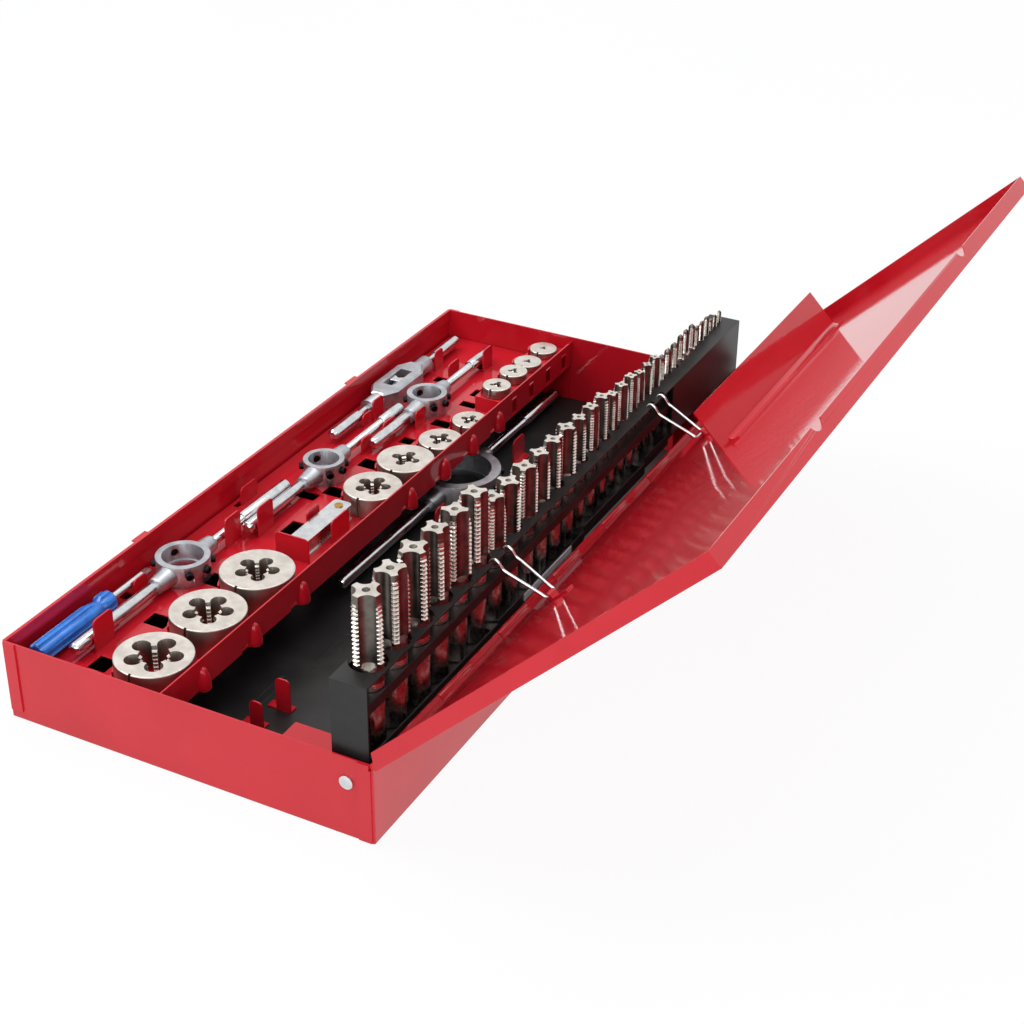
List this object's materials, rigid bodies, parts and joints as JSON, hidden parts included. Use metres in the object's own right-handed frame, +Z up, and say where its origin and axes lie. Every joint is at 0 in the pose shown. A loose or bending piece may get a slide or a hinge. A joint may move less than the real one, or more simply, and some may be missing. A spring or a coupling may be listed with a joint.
{
  "type": "tap and die storage drawer",
  "caption": "Flat sheet-metal case with a hinged lid that tips up a stand of hand taps over a tray of round dies, die stocks, a tap wrench, a screwdriver and a pitch gauge.",
  "frame": {"origin": "centre of the underside of the case, on the surface it stands on", "axes": "+X across the case to the hinge wall, +Y along the hinge, +Z up"},
  "size_m": [0.4195, 0.5092, 0.2277],
  "materials": {
    "red_enamel": "glossy red powder coat",
    "black_enamel": "semi-gloss black enamel",
    "tool_steel": "ground tool steel, lightly oiled",
    "turned_steel": "bright turned steel",
    "zinc_casting": "satin die-cast zinc",
    "blackened_steel": "black oxide",
    "zinc_wire": "zinc-plated wire",
    "blue_plastic": "glossy moulded plastic",
    "brass": "plain brass",
    "pale_card": "bare pale grey strip"
  },
  "bodies": {
    "case": {"case_shell": "red_enamel", "die_m10": "tool_steel", "die_m12": "tool_steel", "die_m14": "tool_steel", "die_m16": "tool_steel", "die_m18": "tool_steel", "die_m20": "tool_steel", "die_m3": "tool_steel", "die_m4": "tool_steel", "die_m5": "tool_steel", "die_m6": "tool_steel", "die_m8": "tool_steel", "floor_clips": "red_enamel", "floor_sheet": "black_enamel", "front_catches": "red_enamel", "hinge_pin": "zinc_wire", "insert_tray": "red_enamel", "pitch_gauge_case": "turned_steel", "pitch_gauge_leaves": "turned_steel", "pitch_gauge_rivet": "brass", "pivot_rivets": "zinc_wire", "pivot_washers": "zinc_wire", "screwdriver_blade": "turned_steel", "screwdriver_handle": "blue_plastic", "stand_rests": "red_enamel", "stock_handles_20mm_deep": "turned_steel", "stock_handles_20mm_flat": "turned_steel", "stock_handles_25mm": "turned_steel", "stock_handles_45mm": "turned_steel", "stock_ring_20mm_deep": "zinc_casting", "stock_ring_20mm_flat": "zinc_casting", "stock_ring_25mm": "zinc_casting", "stock_ring_45mm": "zinc_casting", "stock_set_screws": "blackened_steel", "tray_uprights": "red_enamel", "wrench_body": "zinc_casting", "wrench_fixed_handle": "turned_steel"},
    "lid": {"lid_flap": "red_enamel", "lid_shell": "red_enamel", "link_clips": "red_enamel"},
    "stand": {"size_strip": "pale_card", "stand_base": "black_enamel", "stand_frame": "black_enamel", "stand_front_cover": "black_enamel", "stand_middle_plate": "black_enamel", "taps_m10": "tool_steel", "taps_m12": "tool_steel", "taps_m14": "tool_steel", "taps_m16": "tool_steel", "taps_m18": "tool_steel", "taps_m20": "tool_steel", "taps_m3": "tool_steel", "taps_m4": "tool_steel", "taps_m5": "tool_steel", "taps_m6": "tool_steel", "taps_m8": "tool_steel"},
    "link_near": {"wire_link_near": "zinc_wire"},
    "link_far": {"wire_link_far": "zinc_wire"},
    "wrench_screw": {"wrench_screw_handle": "turned_steel"},
    "wrench_jaw": {"wrench_jaw": "turned_steel"}
  },
  "joints": [
    {"name": "lid_hinge", "type": "hinge", "parent": "case", "child": "lid", "pos_m": [0.1185, 0, 0.0503], "axis": [0, -1, 0], "range_deg": [0, 135.5]},
    {"name": "stand_pivot", "type": "hinge", "parent": "case", "child": "stand", "pos_m": [0.103, 0, 0.036], "axis": [0, -1, 0], "range_deg": [0, 90]},
    {"name": "link_near_pivot", "type": "hinge", "parent": "lid", "child": "link_near", "pos_m": [0.14463, -0.10586, 0.07892], "axis": [0, -1, 0], "range_deg": [-107.6, 0]},
    {"name": "link_far_pivot", "type": "hinge", "parent": "lid", "child": "link_far", "pos_m": [0.14463, 0.11154, 0.07892], "axis": [0, -1, 0], "range_deg": [-107.6, 0]},
    {"name": "wrench_screw_turn", "type": "hinge", "parent": "case", "child": "wrench_screw", "pos_m": [-0.102, 0.10779, 0.0365], "axis": [0, 1, 0], "range_deg": [0, 1080]},
    {"name": "wrench_jaw_slide", "type": "slide", "parent": "case", "child": "wrench_jaw", "axis": [0, 1, 0], "range_m": [0, 0.00375]}
  ],
  "couplings": [
    {"joint": "stand_pivot", "follows": "lid_hinge", "ratio": 0.66421},
    {"joint": "link_near_pivot", "follows": "lid_hinge", "ratio": -0.79409},
    {"joint": "link_far_pivot", "follows": "lid_hinge", "ratio": -0.79409},
    {"joint": "wrench_jaw_slide", "follows": "wrench_screw_turn", "m_per_rad": 0.00019894}
  ]
}
